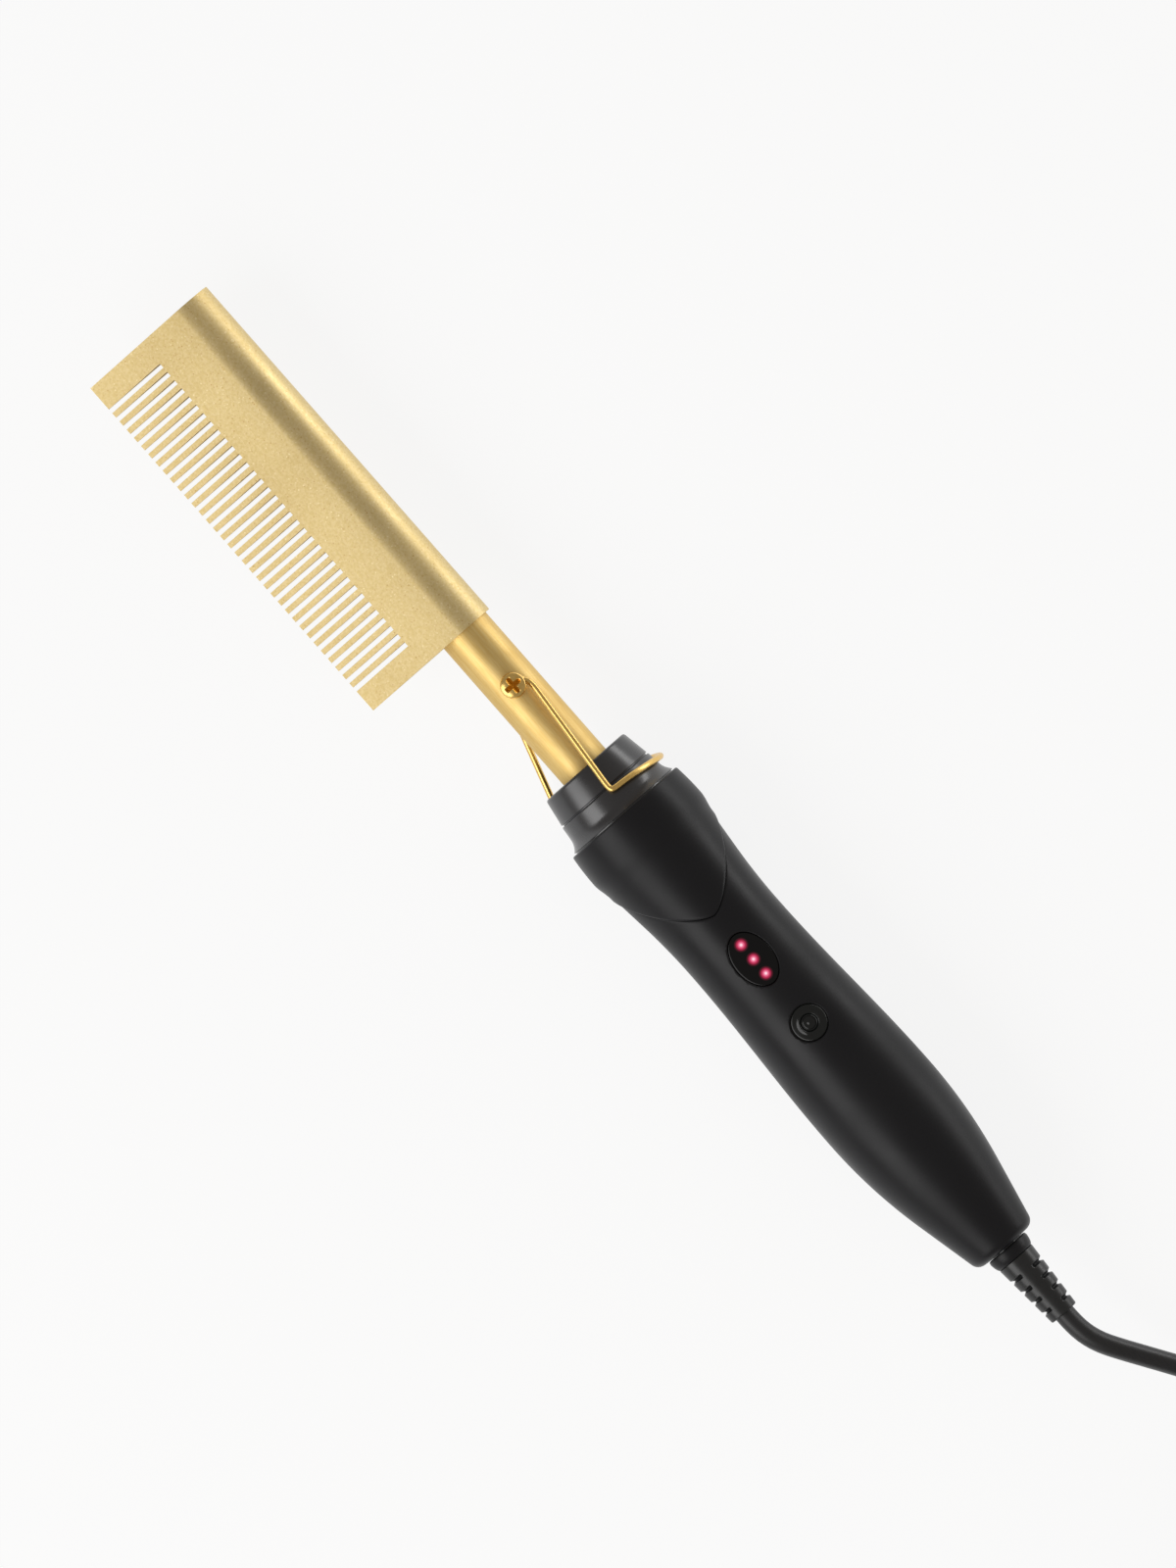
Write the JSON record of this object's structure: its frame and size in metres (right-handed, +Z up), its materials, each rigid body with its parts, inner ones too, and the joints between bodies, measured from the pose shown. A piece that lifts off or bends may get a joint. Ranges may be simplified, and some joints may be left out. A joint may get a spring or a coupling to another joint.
{
  "type": "electric hot comb",
  "caption": "Electric hot comb with a gold heated metal comb, folding wire stand, black handle with lamps and a button, and a swivelling cord with its plug",
  "frame": {"origin": "On the surface that the comb lies on, under the middle of the box round the comb, handle and strain relief.", "axes": "+X runs along the long axis from the comb's tip to the cord. The teeth point to -Y. +Z is up, out of the side with the lamps and the button."},
  "size_m": [0.587, 0.0525, 0.0326],
  "materials": {
    "comb_gold": "fine-blasted, gold anodised",
    "raw_aluminium": "extruded",
    "ceramic": "fired ceramic",
    "amber_film": "polyimide film",
    "sensor_resin": "dipped resin",
    "plated_steel": "zinc plated",
    "lead_red": "silicone insulation",
    "lead_white": "satin",
    "lead_blue": "silicone insulation",
    "neck_gold": "gold-coated steel tube, satin",
    "brass_bar": "turned",
    "gold_steel": "gold-coated steel, polished",
    "collar_black": "heat-resistant, satin",
    "soft_black": "soft-touch coating",
    "bush_resin": "moulded phenolic",
    "window_black": "smoked, polished",
    "led_red": "clear epoxy lamp",
    "button_black": "polished",
    "board_green": "solder mask",
    "chip_black": "moulded epoxy",
    "capacitor_yellow": "moulded box",
    "capacitor_blue": "shrink sleeve",
    "carbon": "pressed carbon",
    "relief_rubber": "moulded",
    "cord_pvc": "smooth sheath",
    "tie_fabric": "woven hook-and-loop strap",
    "plug_black": "moulded",
    "nickel": "nickel-plated brass"
  },
  "bodies": {
    "comb": {"comb_head": "comb_gold", "heater_block_upper": "raw_aluminium", "heater_block_lower": "raw_aluminium", "ceramic_heater": "ceramic", "insulation_film": "amber_film", "temperature_sensor": "sensor_resin", "thermal_fuse": "plated_steel", "heater_leads": "lead_red", "sensor_leads": "lead_white", "neck_tube": "neck_gold", "pivot_spacer": "brass_bar", "stand_screws": "gold_steel", "heat_collar": "collar_black", "rest_collar": "collar_black", "nose_cover": "soft_black", "neck_bush": "bush_resin", "neck_pin": "plated_steel", "front_shell": "soft_black", "rear_shell": "soft_black", "shell_screws": "plated_steel", "indicator_window": "window_black", "indicator_leds": "led_red", "tact_switch": "button_black", "control_board": "board_green", "board_screws": "plated_steel", "triac": "chip_black", "film_capacitor": "capacitor_yellow", "smoothing_capacitor": "capacitor_blue", "controller_chip": "chip_black", "brush_holder": "bush_resin", "contact_brushes": "carbon", "power_leads": "lead_blue", "cord_lead": "cord_pvc", "cord_hank": "cord_pvc", "cord_tail": "cord_pvc", "cord_tie": "tie_fabric", "plug_body": "plug_black", "plug_pins": "nickel"},
    "stand": {"stand_wire": "gold_steel"},
    "button": {"button_cap": "button_black", "switch_plunger": "lead_white"},
    "swivel": {"swivel_core": "collar_black", "slip_rings": "brass_bar", "swivel_collar": "button_black", "strain_relief": "relief_rubber", "cord_stub": "cord_pvc"}
  },
  "joints": [
    {"name": "stand_fold", "type": "hinge", "parent": "comb", "child": "stand", "pos_m": [-0.0382, 0.0058, 0.0163], "axis": [0, 0, 1], "range_deg": [0, 140]},
    {"name": "button_press", "type": "slide", "parent": "comb", "child": "button", "axis": [0, 0, -1], "range_m": [0, 0.0005], "stiffness_N_per_m": 2500, "springref_m": -0.0002},
    {"name": "cord_swivel", "type": "hinge", "parent": "comb", "child": "swivel", "pos_m": [0.14, 0.0058, 0.0163], "axis": [1, 0, 0], "continuous": true}
  ]
}
